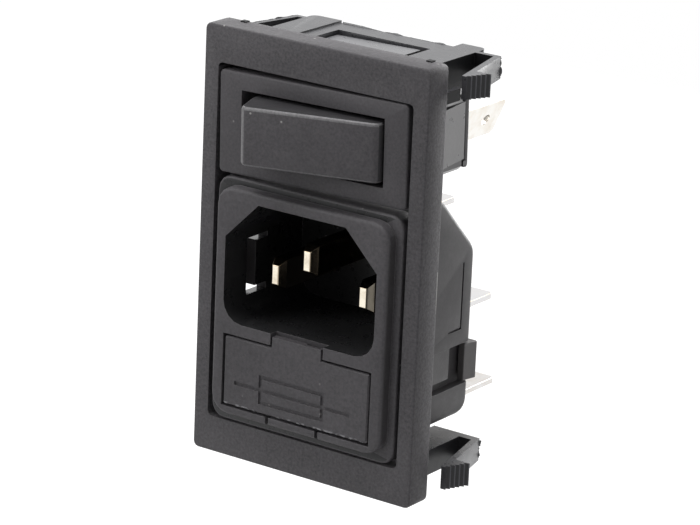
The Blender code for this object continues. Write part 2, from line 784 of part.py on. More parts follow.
def side_outline():
    """The inlet body from its side: front, upper edge, 45 degree slant, rear face, lower edge."""
    front = PLATE_T - BEZEL_T - TOUCH
    corner = SIDE_HIGH - (INLET_REAR - SLANT_FROM)
    bend = corner - BEND_ROUND * math.tan(math.radians(22.5))
    points = [(front, SIDE_LOW), (front, SIDE_HIGH), (SLANT_FROM, SIDE_HIGH)]
    for step in range(4):
        angle = math.radians(45.0 - 15.0 * step)
        deep = INLET_REAR - BEND_ROUND + BEND_ROUND * math.cos(angle)
        points.append((deep, bend + BEND_ROUND * math.sin(angle)))
    for step in range(5):
        angle = math.radians(-22.5 * step)
        deep = INLET_REAR - REAR_ROUND + REAR_ROUND * math.cos(angle)
        points.append((deep, SIDE_LOW + REAR_ROUND + REAR_ROUND * math.sin(angle)))
    return points


def make_inlet_shell():
    """The outer shape of the inlet housing before its spaces are cut."""
    plate_back = PLATE_T - BEZEL_T
    plate = rounded(-BASE_HALF_X, BASE_HALF_X, BASE_LOW, BASE_HIGH, BASE_ROUND)
    body = prism("inlet_housing", plate, (-BEZEL_T, plate_back), "Y", None, BLACK)
    soften(body, 0.3, 2)
    raised = rounded(-RAISED_HALF_X, RAISED_HALF_X, RAISED_LOW, RAISED_HIGH, RAISED_ROUND)
    front = prism("add_raised", raised, (RAISED_Y, plate_back - 1.0), "Y")
    join(body, soften(front, 0.5, 3))
    sides = prism("add_sides", side_outline(), (-SIDE_X, SIDE_X), "X")
    join(body, soften(sides, REAR_EDGE, 3))
    join(body, prism("add_shroud", cavity_outline(SHROUD_T), (plate_back - TOUCH, SHROUD_REAR), "Y"))
    hook_z = (SNAP_TONGUE[0] + GAP, SNAP_TONGUE[1] - GAP)
    hook = block("add_hooks", (SIDE_X - TOUCH, HOOK_OUT), (SNAP_FRONT, HOOK_REAR), hook_z)
    join(body, mirrored(hook))
    lug_top = -LUG_TOP
    lug_y = (WINDOW_FRONT + GAP, LUG_REAR)
    join(body, block("add_low_lug", (LUG_LEFT, LUG_RIGHT), lug_y, (lug_top, lug_top + LUG_T)))
    stem_y = (LUG_REAR - LUG_STEM, LUG_REAR)
    join(body, block("add_low_stem", (LUG_LEFT, LUG_RIGHT), stem_y, (lug_top + LUG_T / 2, SIDE_LOW + 0.5)))
    return body


def cut_inlet_sides(body):
    """Side recesses with their sunk panel, the slits beside the snap tongues and the fine groove."""
    far = SIDE_X + 2.0
    rear = INLET_REAR + 1.0
    panel_x = (SIDE_X - PANEL_STEP, far)
    panel = block("cut_panel", panel_x, (RECESS_FROM, PANEL_REAR + TOUCH), (PANEL_LOW, RECESS_HIGH))
    channel = block("cut_channel", (RECESS_X, far), (RECESS_FROM, rear), (RECESS_LOW, PANEL_LOW))
    pocket = block("cut_pocket_side", (RECESS_X, far), (PANEL_REAR, rear), (PANEL_LOW - TOUCH, RECESS_HIGH))
    cut(body, mirrored(panel), mirrored(channel), mirrored(pocket))
    low, high = SNAP_TONGUE
    through = (CAVITY_HALF_X - 1.0, far)
    window = block("cut_slits", through, (SLIT_FRONT, SNAP_FRONT), (SLIT_LOW, SLIT_TOP))
    join(window, block("cut_slit_above", through, (SNAP_FRONT - TOUCH, SLIT_REAR), (high, SLIT_TOP)))
    join(window, block("cut_slit_below", through, (SNAP_FRONT - TOUCH, SLIT_REAR), (SLIT_LOW, low)))
    cut(body, mirrored(window))
    relief_z = (SLIT_LOW - SLIT_RELIEF, SLIT_LOW + TOUCH)
    cut(body, mirrored(block("cut_slit_relief", (SLIT_WALL, far), (SLIT_FRONT, SLIT_REAR), relief_z)))
    skin = SIDE_X - GROOVE
    upright = block("cut_groove", (skin, far), (GROOVE_Y, GROOVE_Y + GROOVE), (GROOVE_LOW, GROOVE_TOP))
    foot_z = (GROOVE_LOW - GROOVE, GROOVE_LOW)
    along = block("cut_groove_foot", (skin, far), (GROOVE_FRONT, GROOVE_Y + GROOVE), foot_z)
    join(upright, along)
    cut(body, mirrored(upright))


def cut_inlet_spaces(body):
    """The mouth, the drawer bay, the fuse chamber and the passages of the contacts."""
    rear = INLET_REAR + 1.0
    near = RAISED_Y - 1.0
    cut(body, prism("cut_cavity", cavity_outline(0.0), (near, CAVITY_REAR), "Y"))
    face_x = DRAWER_HALF_X + GAP
    face_rear = RAISED_Y + DRAWER_FACE_T + GAP
    face = block("cut_face", (-face_x, face_x), (near, face_rear), (DRAWER_LOW - GAP, DRAWER_HIGH + GAP))
    tray_x = TRAY_HALF_X + GAP
    bay_z = (TRAY_LOW - GAP, TRAY_HIGH + GAP)
    cut(body, face)
    cut(body, block("cut_bay", (-tray_x, tray_x), (near, rear), bay_z))
    tongue_x = TONGUE_HALF_X + GAP
    tongue_y = RAISED_Y + TONGUE_T + GAP
    cut(body, block("cut_tongue", (-tongue_x, tongue_x), (near, tongue_y), (DRAWER_HIGH, CAVITY_LOW + 1.0)))
    for index, across in enumerate(LATCH_SLOTS):
        xs = (across - LATCH_SLOT_W / 2, across + LATCH_SLOT_W / 2)
        slot_y = (near, RAISED_Y + LATCH_SLOT_DEEP)
        cut(body, block(f"cut_latch_{index}", xs, slot_y, (RAISED_LOW - 1.0, DRAWER_LOW)))
    pin_x = PIN_T / 2 + GAP
    pin_z = PIN_H / 2 + GAP
    channel = STRAP_Y - GAP
    for name, across, up in (("line", -PIN_X, PIN_Z), ("neutral", PIN_X, PIN_Z), ("earth", 0.0, EARTH_Z)):
        xs = (across - pin_x, across + pin_x)
        cut(body, block("cut_" + name, xs, (CAVITY_REAR - 1.0, rear), (up - pin_z, up + pin_z)))
    strap = STRAP_HALF + GAP
    cut(body, block("cut_line_strap", (-PIN_X - strap, -PIN_X + strap), (channel, rear), (TRAY_HIGH, PIN_Z)))
    tab_x = TAB_W / 2 + GAP
    tab_low = NEUTRAL_TAB_Z - TAB_T / 2 - GAP
    cut(body, block("cut_neutral_tab", (PIN_X - tab_x, PIN_X + tab_x), (channel, rear), (tab_low, PIN_Z)))
    cut(body, block("cut_earth_tab", (-strap, strap), (channel, rear), (EARTH_Z, EARTH_TAB_Z + 2.0)))
    load_x = (LOAD_TAB_X - tab_x, LOAD_TAB_X + tab_x)
    load_low = LOAD_TAB_Z - TAB_T / 2 - GAP
    cut(body, block("cut_load_tab", load_x, (CLIP_Y - GAP, rear), (load_low, TRAY_LOW)))


def pin_mesh(name, across, up, tip, end, look):
    """A flat contact pin: full section behind, tapered over its last part to a small flat."""
    half_x = PIN_T / 2
    half_z = PIN_H / 2
    rings = (
        (tip, half_x - PIN_CHAMFER_X, half_z - PIN_CHAMFER_Z),
        (tip + PIN_CHAMFER_Y, half_x, half_z),
        (end, half_x, half_z),
    )
    build = bmesh.new()
    loops = []
    for deep, wide, tall in rings:
        corners = ((-wide, -tall), (wide, -tall), (wide, tall), (-wide, tall))
        loops.append([build.verts.new(Vector((across + a, deep, up + b)) * MM) for a, b in corners])
    for first, second in zip(loops, loops[1:]):
        for at in range(4):
            after = (at + 1) % 4
            build.faces.new((first[at], first[after], second[after], second[at]))
    build.faces.new(loops[0])
    build.faces.new(loops[-1])
    bmesh.ops.recalc_face_normals(build, faces=build.faces)
    data = bpy.data.meshes.new(name)
    build.to_mesh(data)
    build.free()
    return place(name, data, None, look)


def rear_tab(name, across, up, start, end):
    """A flat rear tab with cut corners, and the hole near its end."""
    points = [(across + a, deep) for a, deep in tab_outline(TAB_W / 2, start, end, TAB_CUT)]
    tab = prism("add_" + name, points, (up - TAB_T / 2, up + TAB_T / 2), "Z")
    spot = (across, end - TAB_HOLE_BACK)
    hole = rod("cut_" + name, TAB_HOLE_R, (up - 2.0, up + 2.0), "Z", spot, None, None, 16)
    return tab, hole


def make_pins():
    """The three contact pins; earth and neutral end in rear tabs, line in a strap to its clip."""
    strap_y = (STRAP_Y, STRAP_Y + STRAP_T)
    end = STRAP_Y + STRAP_T
    earth = pin_mesh("earth_pin", 0.0, EARTH_Z, EARTH_TIP_Y, end, SILVER)
    half = (-STRAP_HALF, STRAP_HALF)
    join(earth, block("add_earth_strap", half, strap_y, (EARTH_Z, EARTH_TAB_Z + TAB_T / 2)))
    tab, hole = rear_tab("earth_tab", 0.0, EARTH_TAB_Z, STRAP_Y, EARTH_TAB_END)
    join(earth, tab)
    cut(earth, hole)
    neutral = pin_mesh("neutral_pin", PIN_X, PIN_Z, PIN_TIP_Y, end, SILVER)
    half = (PIN_X - STRAP_HALF, PIN_X + STRAP_HALF)
    join(neutral, block("add_neutral_strap", half, strap_y, (NEUTRAL_TAB_Z - TAB_T / 2, PIN_Z)))
    tab, hole = rear_tab("neutral_tab", PIN_X, NEUTRAL_TAB_Z, STRAP_Y, TAB_END)
    join(neutral, tab)
    cut(neutral, hole)
    line = pin_mesh("line_pin", -PIN_X, PIN_Z, PIN_TIP_Y, end, SILVER)
    half = (-PIN_X - STRAP_HALF, -PIN_X + STRAP_HALF)
    join(line, block("add_line_strap", half, strap_y, (FUSE_Z, PIN_Z)))


def make_clip(name, side):
    """A fuse clip: a base across the rear of the cap and a finger above and below the cap."""
    xs = sorted((side * CLIP_IN, side * CLIP_OUT))
    reach = CAP_R + GAP
    outer = reach + CLIP_T
    base = block(name, xs, (CLIP_Y, CLIP_Y + CLIP_T), (FUSE_Z - outer, FUSE_Z + outer), None, BRASS)
    finger_y = (CLIP_FRONT, CLIP_Y + CLIP_T / 2)
    upper = block("add_upper_" + name, xs, finger_y, (FUSE_Z + reach, FUSE_Z + outer))
    lower = block("add_lower_" + name, xs, finger_y, (FUSE_Z - outer, FUSE_Z - reach))
    join(base, upper, lower)
    return base


def make_clips():
    """The clip on the line side, and the one on the load side with its rear tab."""
    make_clip("line_fuse_clip", -1.0)
    load = make_clip("load_fuse_clip", 1.0)
    foot = block("add_load_foot", (CLIP_IN, CLIP_OUT), (CLIP_Y, CLIP_Y + CLIP_T), (LOAD_TAB_Z, FUSE_Z))
    tab, hole = rear_tab("load_tab", LOAD_TAB_X, LOAD_TAB_Z, CLIP_Y, TAB_END)
    join(load, foot, tab)
    cut(load, hole)


def make_cover():
    """The rear cover behind the fuse chamber; its flared lugs sit in the side recesses."""
    front = INLET_REAR + GAP
    rear = front + COVER_T
    half_x = (-COVER_HALF_X, COVER_HALF_X)
    cover = block("inlet_cover", half_x, (front, rear), (COVER_LOW, COVER_HIGH), None, BLACK)
    inner = RECESS_X + GAP
    root = COVER_HALF_X - TOUCH
    lug = [
        (inner, COVER_LUG_FRONT),
        (COVER_LUG_X, COVER_LUG_FRONT),
        (COVER_LUG_OUT, rear - GAP),
        (COVER_LUG_OUT - GAP, rear),
        (root, rear),
        (root, front),
        (inner, front),
    ]
    lugs = prism("add_lugs", lug, COVER_LUG_Z, "Z")
    join(cover, mirrored(lugs))
    half = TAB_W / 2 + GAP
    slot_x = (LOAD_TAB_X - half, LOAD_TAB_X + half)
    slot_z = (LOAD_TAB_Z - TAB_T / 2 - GAP, LOAD_TAB_Z + TAB_T / 2 + GAP)
    cut(cover, block("cut_cover_slot", slot_x, (front - 1.0, front + 2.0), slot_z))


def engrave_symbol(drawer, slide):
    """The fuse symbol on the drawer: a long rectangle with a line through it."""
    ys = (RAISED_Y - 1.0, RAISED_Y + SYMBOL_DEEP)
    wide = SYMBOL_W
    marks = (
        ((SYMBOL_LEFT, SYMBOL_RIGHT), (SYMBOL_HIGH - wide, SYMBOL_HIGH)),
        ((SYMBOL_LEFT, SYMBOL_RIGHT), (SYMBOL_LOW, SYMBOL_LOW + wide)),
        ((SYMBOL_LEFT, SYMBOL_LEFT + wide), (SYMBOL_LOW, SYMBOL_HIGH)),
        ((SYMBOL_RIGHT - wide, SYMBOL_RIGHT), (SYMBOL_LOW, SYMBOL_HIGH)),
        (SYMBOL_LINE, (SYMBOL_LINE_Z - wide / 2, SYMBOL_LINE_Z + wide / 2)),
    )
    for index, (xs, zs) in enumerate(marks):
        cut(drawer, block(f"cut_mark_{index}", xs, ys, zs, slide))


def make_drawer(slide):
    """The fuse drawer: face with its tongue, tray with a pocket for the spare and the cradle."""
    face_y = (RAISED_Y, RAISED_Y + DRAWER_FACE_T)
    half_x = (-DRAWER_HALF_X, DRAWER_HALF_X)
    drawer = block("fuse_drawer", half_x, face_y, (DRAWER_LOW, DRAWER_HIGH), slide, BLACK)
    soften(drawer, 0.2, 1)
    tongue_x = (-TONGUE_HALF_X, TONGUE_HALF_X)
    tongue_y = (RAISED_Y, RAISED_Y + TONGUE_T)
    join(drawer, block("add_tongue", tongue_x, tongue_y, (DRAWER_HIGH - 1.0, TONGUE_TOP), slide))
    tray_y = (face_y[1] - TOUCH, BAY_REAR - GAP)
    tray_x = (-TRAY_HALF_X, TRAY_HALF_X)
    join(drawer, block("add_tray", tray_x, tray_y, (TRAY_LOW, TRAY_HIGH), slide))
    room = CAP_R + GAP
    pocket_x = (-FUSE_HALF - GAP, FUSE_HALF + GAP)
    pocket_z = (FUSE_Z - room, TRAY_HIGH + 1.0)
    cut(drawer, block("cut_pocket", pocket_x, (SPARE_Y - room, SPARE_Y + room), pocket_z, slide))
    cut(drawer, block("cut_cradle", pocket_x, (FUSE_Y - room, BAY_REAR), pocket_z, slide))
    slot_x = (CLIP_IN - GAP, CLIP_OUT + GAP)
    slot_y = (CLIP_FRONT - GAP, BAY_REAR)
    slots = block("cut_slots", slot_x, slot_y, (TRAY_LOW - 1.0, FUSE_Z), slide)
    cut(drawer, mirrored(slots))
    notch_y = (RAISED_Y + TONGUE_T * 0.55, RAISED_Y + TONGUE_T + 0.5)
    cut(drawer, block("cut_notch", (1.2, 3.4), notch_y, (DRAWER_HIGH + GAP, TONGUE_TOP + 1.0), slide))
    engrave_symbol(drawer, slide)


def make_fuse(name, deep, slide):
    """A 5 x 20 mm fuse along X: tube, two end caps and the wire between them."""
    lay = (0.0, math.radians(90.0), 0.0)
    spot = (0.0, deep, FUSE_Z)
    half = FUSE_HALF - CAP_END - GAP
    tube = [(TUBE_R, half), (TUBE_R, -half), (TUBE_BORE, -half), (TUBE_BORE, half)]
    turned(name + "_tube", tube, True, spot, lay, slide, GLASS)
    open_end = FUSE_HALF - CAP_LENGTH
    cap = [
        (0.0, FUSE_HALF),
        (CAP_R, FUSE_HALF),
        (CAP_R, open_end),
        (CAP_BORE, open_end),
        (CAP_BORE, FUSE_HALF - CAP_END),
        (0.0, FUSE_HALF - CAP_END),
    ]
    turned(name + "_cap_load", cap, False, spot, lay, slide, SILVER)
    turn = (0.0, math.radians(-90.0), 0.0)
    turned(name + "_cap_line", cap, False, spot, turn, slide, SILVER)
    wire = [(0.0, half), (WIRE_R, half), (WIRE_R, -half), (0.0, -half)]
    turned(name + "_wire", wire, False, spot, lay, slide, STEEL, 8)


def make_switch():
    """The whole switch module, slightly turned in the carrier."""
    module = frame("switch_frame", (SWITCH_X, 0.0, SWITCH_Z), (0.0, SWITCH_TURN, 0.0))
    hinge = frame("rocker_frame", (0.0, PIVOT_Y, 0.0), (0.0, 0.0, ROCKER_SWING), module)
    pivot = frame("lever_frame", (0.0, LEVER_AXIS_Y, 0.0), (0.0, 0.0, -LEVER_SWING), module)
    make_switch_housing(module)
    make_switch_base(module)
    make_rocker(hinge)
    make_plunger(hinge)
    make_spring(hinge)
    make_lever(pivot)
    make_contacts(module, pivot)
    make_switch_terminals(module)


def make_inlet():
    """The whole inlet module with the drawer and the fuses."""
    body = make_inlet_shell()
    cut_inlet_sides(body)
    cut_inlet_spaces(body)
    make_pins()
    make_clips()
    make_cover()
    slide = frame("drawer_frame", (0.0, 0.0, 0.0))
    make_drawer(slide)
    make_fuse("fuse", FUSE_Y, slide)
    make_fuse("spare_fuse", SPARE_Y, slide)


def smooth_round_pieces():
    """Shades the curved pieces smooth up to their sharp edges."""
    for piece in PARTS.objects:
        if piece.type == "MESH":
            piece.data.shade_smooth()
            piece.data.set_sharp_from_angle(angle=math.radians(32.0))


make_carrier()
make_switch()
make_inlet()
smooth_round_pieces()
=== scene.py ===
"""The looks of a snap-in power entry module: rocker switch above a fused inlet, in one carrier."""
import json
import math

import bmesh
import bpy
import numpy as np
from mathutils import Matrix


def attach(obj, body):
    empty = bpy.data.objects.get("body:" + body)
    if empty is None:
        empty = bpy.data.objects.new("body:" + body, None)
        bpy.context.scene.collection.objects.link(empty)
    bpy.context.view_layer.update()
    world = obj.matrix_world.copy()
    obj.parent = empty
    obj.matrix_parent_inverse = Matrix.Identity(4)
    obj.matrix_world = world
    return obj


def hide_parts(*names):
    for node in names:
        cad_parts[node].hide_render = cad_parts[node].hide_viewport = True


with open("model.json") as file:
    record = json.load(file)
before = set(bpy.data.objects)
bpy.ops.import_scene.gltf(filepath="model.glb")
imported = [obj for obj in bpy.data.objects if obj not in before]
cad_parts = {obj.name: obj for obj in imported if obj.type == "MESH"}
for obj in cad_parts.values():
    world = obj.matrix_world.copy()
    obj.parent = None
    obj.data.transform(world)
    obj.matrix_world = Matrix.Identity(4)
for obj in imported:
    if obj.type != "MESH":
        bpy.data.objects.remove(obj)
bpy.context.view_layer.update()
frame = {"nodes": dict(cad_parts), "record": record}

# The view: a long lens from the front right, a little above the module, as in the photograph. Its place,
# turn and focal length were solved from the edges of the bezel and the mouth.
camera = bpy.data.objects.new("camera", bpy.data.cameras.new("camera"))
bpy.context.scene.collection.objects.link(camera)
camera.data.sensor_width = 36.0
camera.data.lens = 181.68
camera.data.clip_start = 0.01
camera.data.clip_end = 20.0
camera.location = (0.251368, -0.354549, 0.136267)
camera.rotation_euler = (1.265760, -0.042040, 0.622779)
bpy.context.scene.camera = camera

# The studio: a white tent that the camera, the metal and the glass see as plain white. A large soft lamp
# hangs over the module and another stands behind it; weaker ones fill in from its right, its far left
# and its front left.
bpy.context.scene.view_settings.view_transform = "Standard"
TENT_LIGHT = 0.12


def white_when_seen(nodes, links, share):
    """A factor that is share for what the camera, a mirror or a glass sees, and 0 for lighting."""
    path = nodes.new("ShaderNodeLightPath")
    some = nodes.new("ShaderNodeMath")
    some.operation = "MAXIMUM"
    links.new(path.outputs["Is Camera Ray"], some.inputs[0])
    links.new(path.outputs["Is Glossy Ray"], some.inputs[1])
    most = nodes.new("ShaderNodeMath")
    most.operation = "MAXIMUM"
    links.new(some.outputs["Value"], most.inputs[0])
    links.new(path.outputs["Is Transmission Ray"], most.inputs[1])
    part = nodes.new("ShaderNodeMath")
    part.operation = "MULTIPLY"
    part.inputs[1].default_value = share
    links.new(most.outputs["Value"], part.inputs[0])
    return part.outputs["Value"]


world = bpy.data.worlds.new("studio")
bpy.context.scene.world = world
world.use_nodes = True
nodes = world.node_tree.nodes
links = world.node_tree.links
nodes.clear()
seen = nodes.new("ShaderNodeBackground")
seen.inputs["Color"].default_value = (1.0, 1.0, 1.0, 1.0)
seen.inputs["Strength"].default_value = 1.0
lit = nodes.new("ShaderNodeBackground")
lit.inputs["Color"].default_value = (0.97, 0.98, 1.0, 1.0)
lit.inputs["Strength"].default_value = TENT_LIGHT
mix = nodes.new("ShaderNodeMixShader")
out = nodes.new("ShaderNodeOutputWorld")
links.new(white_when_seen(nodes, links, 1.0), mix.inputs["Fac"])
links.new(lit.outputs["Background"], mix.inputs[1])
links.new(seen.outputs["Background"], mix.inputs[2])
links.new(mix.outputs["Shader"], out.inputs["Surface"])


def softbox(name, spot, size, power):
    """A square area lamp at spot (metres), its face turned to the module at the origin."""
    data = bpy.data.lights.new(name, "AREA")
    data.shape = "SQUARE"
    data.size = size
    data.energy = power
    lamp = bpy.data.objects.new(name, data)
    bpy.context.scene.collection.objects.link(lamp)
    lamp.location = spot
    tilt = math.atan2(math.hypot(spot[0], spot[1]), spot[2])
    lamp.rotation_euler = (tilt, 0.0, math.atan2(spot[0], -spot[1]))


softbox("lamp_over", (-0.08, -0.04, 0.62), 0.42, 4.8)
softbox("lamp_behind", (0.04, 0.66, 0.16), 0.50, 5.5)
softbox("lamp_right", (0.60, -0.20, 0.20), 0.30, 0.5)
softbox("lamp_far_left", (-0.60, 0.34, 0.26), 0.30, 2.0)
softbox("lamp_left", (-0.42, -0.50, 0.34), 0.40, 2.6)

# The floor: a square of white paper well below the module, which hangs clear of it as in a cut-out
# picture. What is seen of it is part paper and part glow, so that it joins the white of the tent.
FLOOR = 0.65
FLOOR_Z = -0.16
PAPER = (0.60, 0.60, 0.60, 1.0)
PAPER_GLOW = 1.3
GLOW_SEEN = 0.7
floor_mesh = bpy.data.meshes.new("floor")
corners = [(x, y, FLOOR_Z) for x, y in ((-FLOOR, -FLOOR), (FLOOR, -FLOOR), (FLOOR, FLOOR), (-FLOOR, FLOOR))]
floor_mesh.from_pydata(corners, [], [(0, 1, 2, 3)])
floor = bpy.data.objects.new("floor", floor_mesh)
bpy.context.scene.collection.objects.link(floor)
paper = bpy.data.materials.new("white_paper")
paper.use_nodes = True
nodes = paper.node_tree.nodes
links = paper.node_tree.links
nodes["Principled BSDF"].inputs["Base Color"].default_value = PAPER
nodes["Principled BSDF"].inputs["Roughness"].default_value = 0.9
glow = nodes.new("ShaderNodeEmission")
glow.inputs["Color"].default_value = (1.0, 1.0, 1.0, 1.0)
glow.inputs["Strength"].default_value = PAPER_GLOW
mix = nodes.new("ShaderNodeMixShader")
links.new(white_when_seen(nodes, links, GLOW_SEEN), mix.inputs["Fac"])
links.new(nodes["Principled BSDF"].outputs["BSDF"], mix.inputs[1])
links.new(glow.outputs["Emission"], mix.inputs[2])
links.new(mix.outputs["Shader"], nodes["Material Output"].inputs["Surface"])
floor_mesh.materials.append(paper)

# The carrier: one black moulding with the bezel in front, walls, corner blocks and snap arms behind.
# The bezel is spark-eroded matt, the parts behind it come smoother from the tool; its radii are pale, partly
# from rubbing and partly a painted highlight, and its pockets, ledges and flutes carry painted shade.
BODY_OF = {node: body for body, names in frame["record"]["behaviour"]["bodies"].items() for node in names}


def group_with(name, ins, outs):
    """An empty shader node group with named inputs (name, kind, value) and outputs (name, kind)."""
    tree = bpy.data.node_groups.new(name, "ShaderNodeTree")
    for label, kind, value in ins:
        socket = tree.interface.new_socket(label, in_out="INPUT", socket_type=kind)
        if value is not None:
            socket.default_value = value
    for label, kind in outs:
        tree.interface.new_socket(label, in_out="OUTPUT", socket_type=kind)
    return tree, tree.nodes.new("NodeGroupInput"), tree.nodes.new("NodeGroupOutput")


def ramp(tree, value, start, end, low=0.0, high=1.0):
    """The value carried from start..end to low..high, held at both ends."""
    step = tree.nodes.new("ShaderNodeMapRange")
    step.inputs["From Min"].default_value = start
    step.inputs["From Max"].default_value = end
    step.inputs["To Min"].default_value = low
    step.inputs["To Max"].default_value = high
    tree.links.new(value, step.inputs["Value"])
    return step.outputs["Result"]


def sums(tree, how, first, second):
    """One Math node; second is a socket or a number."""
    node = tree.nodes.new("ShaderNodeMath")
    node.operation = how
    tree.links.new(first, node.inputs[0])
    if isinstance(second, float):
        node.inputs[1].default_value = second
    else:
        tree.links.new(second, node.inputs[1])
    return node.outputs["Value"]


def blended(tree, mask, first, second):
    """first where the mask is 0, second where it is 1; each is a socket or a colour."""
    node = tree.nodes.new("ShaderNodeMix")
    node.data_type = "RGBA"
    tree.links.new(mask, node.inputs["Factor"])
    for socket, value in ((node.inputs[6], first), (node.inputs[7], second)):
        if isinstance(value, tuple):
            socket.default_value = (*value, 1.0)
        else:
            tree.links.new(value, socket)
    return node.outputs[2]


def noise(tree, vector, scale, detail, rough=0.5):
    """Noise from 0 to 1 at a scale in cells per metre."""
    node = tree.nodes.new("ShaderNodeTexNoise")
    node.inputs["Scale"].default_value = scale
    node.inputs["Detail"].default_value = detail
    node.inputs["Roughness"].default_value = rough
    tree.links.new(vector, node.inputs["Vector"])
    return node.outputs["Fac"]


# Moulded plastic: spark-eroded grain, slow flow marks from the gate, a thin film of handling and sparse
# pale specks of dust. Each scale is in cells per metre.
GRAIN_SCALE = 2700.0
FLOW_SCALE = 140.0
SMEAR_SCALE = 620.0
DUST_SCALE = 480.0
DUST = (0.30, 0.29, 0.28)
FILM = 0.07
PLASTIC, ins, outs = group_with(
    "moulded_plastic",
    [("Vector", "NodeSocketVector", None), ("Colour", "NodeSocketColor", (0.05, 0.05, 0.05, 1.0)),
     ("Grain", "NodeSocketFloat", 0.2), ("Roughness", "NodeSocketFloat", 0.5),
     ("Specks", "NodeSocketFloat", 0.5)],
    [("Colour", "NodeSocketColor"), ("Roughness", "NodeSocketFloat"), ("Height", "NodeSocketFloat")])
vector = ins.outputs["Vector"]
fine = noise(PLASTIC, vector, GRAIN_SCALE, 3.0, 0.6)
flow = noise(PLASTIC, vector, FLOW_SCALE, 3.0)
smear = noise(PLASTIC, vector, SMEAR_SCALE, 4.0, 0.65)
grained = sums(PLASTIC, "MULTIPLY", ramp(PLASTIC, fine, 0.3, 0.7, -1.0, 1.0), ins.outputs["Grain"])
slow = ramp(PLASTIC, flow, 0.3, 0.7, -0.09, 0.09)
level = sums(PLASTIC, "ADD", sums(PLASTIC, "ADD", grained, slow), 1.0)
shade = PLASTIC.nodes.new("ShaderNodeVectorMath")
shade.operation = "SCALE"
PLASTIC.links.new(ins.outputs["Colour"], shade.inputs[0])
PLASTIC.links.new(level, shade.inputs["Scale"])
cells = PLASTIC.nodes.new("ShaderNodeTexVoronoi")
cells.inputs["Scale"].default_value = DUST_SCALE
PLASTIC.links.new(vector, cells.inputs["Vector"])
chosen = PLASTIC.nodes.new("ShaderNodeSeparateColor")
PLASTIC.links.new(cells.outputs["Color"], chosen.inputs["Color"])
near = ramp(PLASTIC, cells.outputs["Distance"], 0.04, 0.10, 1.0, 0.0)
few = ramp(PLASTIC, chosen.outputs["Red"], 0.86, 0.9)
speck = sums(PLASTIC, "MULTIPLY", sums(PLASTIC, "MULTIPLY", near, few), ins.outputs["Specks"])
film = sums(PLASTIC, "MULTIPLY", ramp(PLASTIC, smear, 0.52, 0.75), FILM)
film = sums(PLASTIC, "MULTIPLY", film, ins.outputs["Specks"])
dusted = sums(PLASTIC, "MAXIMUM", speck, film)
PLASTIC.links.new(blended(PLASTIC, dusted, shade.outputs["Vector"], DUST), outs.inputs["Colour"])
uneven = sums(PLASTIC, "ADD", ramp(PLASTIC, smear, 0.3, 0.7, -0.06, 0.06), ins.outputs["Roughness"])
PLASTIC.links.new(uneven, outs.inputs["Roughness"])
PLASTIC.links.new(fine, outs.inputs["Height"])


GRAIN_DEPTH = 0.0001


def moulded(name, colour, rough, grain, specks, bump, gloss):
    """A black moulded finish: the shared plastic group on object coordinates, with a bump for its grain."""
    look = bpy.data.materials.new(name)
    look.use_nodes = True
    tree = look.node_tree
    shader = tree.nodes["Principled BSDF"]
    place = tree.nodes.new("ShaderNodeTexCoord")
    skin = tree.nodes.new("ShaderNodeGroup")
    skin.node_tree = PLASTIC
    skin.inputs["Colour"].default_value = (*colour, 1.0)
    skin.inputs["Grain"].default_value = grain
    skin.inputs["Roughness"].default_value = rough
    skin.inputs["Specks"].default_value = specks
    rise = tree.nodes.new("ShaderNodeBump")
    rise.inputs["Strength"].default_value = bump
    rise.inputs["Distance"].default_value = GRAIN_DEPTH
    tree.links.new(place.outputs["Object"], skin.inputs["Vector"])
    tree.links.new(skin.outputs["Colour"], shader.inputs["Base Color"])
    tree.links.new(skin.outputs["Roughness"], shader.inputs["Roughness"])
    tree.links.new(skin.outputs["Height"], rise.inputs["Height"])
    tree.links.new(rise.outputs["Normal"], shader.inputs["Normal"])
    shader.inputs["Specular IOR Level"].default_value = gloss
    return look


WELD = 0.000002
FLAT = math.radians(0.6)
SHARP = math.radians(35.0)


def filleted(node, width, looks, segments=3, angle=50.0, choose=None):
    """A merged copy of a CAD node whose sharp edges get a small radius, as a real tool leaves them.

    looks lists its materials, the last one for the radii. choose takes the faces' middles (metres) and
    gives each face's place in that list; without it all are the first. The copy stands for the node.
    """
    source = frame["nodes"][node]
    mesh = source.data.copy()
    build = bmesh.new()
    build.from_mesh(mesh)
    bmesh.ops.remove_doubles(build, verts=build.verts, dist=WELD)
    bmesh.ops.dissolve_limit(build, angle_limit=FLAT, verts=build.verts, edges=build.edges)
    build.to_mesh(mesh)
    build.free()
    mesh.materials.clear()
    for look in looks:
        mesh.materials.append(look)
    middles = np.empty(len(mesh.polygons) * 3)
    mesh.polygons.foreach_get("center", middles)
    picked = np.zeros(len(mesh.polygons), dtype=np.int32)
    if choose is not None:
        picked = choose(middles.reshape(-1, 3)).astype(np.int32)
    mesh.polygons.foreach_set("material_index", picked)
    piece = bpy.data.objects.new("visual_" + node, mesh)
    bpy.context.scene.collection.objects.link(piece)
    edges = piece.modifiers.new("radii", "BEVEL")
    edges.width = width
    edges.segments = segments
    edges.limit_method = "ANGLE"
    edges.angle_limit = math.radians(angle)
    edges.use_clamp_overlap = True
    edges.harden_normals = True
    edges.material = len(looks) - 1
    mesh.shade_smooth()
    mesh.set_sharp_from_angle(angle=SHARP)
    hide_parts(node)
    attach(piece, BODY_OF[node])


def spots(look):
    """A moulded look's shader tree, its object coordinates, and their X, Y and Z as sockets."""
    tree = look.node_tree
    place = next(node for node in tree.nodes if node.type == "TEX_COORD")
    spot = tree.nodes.new("ShaderNodeSeparateXYZ")
    tree.links.new(place.outputs["Object"], spot.inputs["Vector"])
    return tree, place.outputs["Object"], spot.outputs


def lay_wear_and_highlight(tree, mask, colour):
    """Lays a colour over a moulded look's own one where the mask is 1: real wear, and also painted
    highlights.
    """
    skin = next(node for node in tree.nodes if node.type == "GROUP")
    tree.links.new(blended(tree, mask, skin.outputs["Colour"], colour),
                   tree.nodes["Principled BSDF"].inputs["Base Color"])


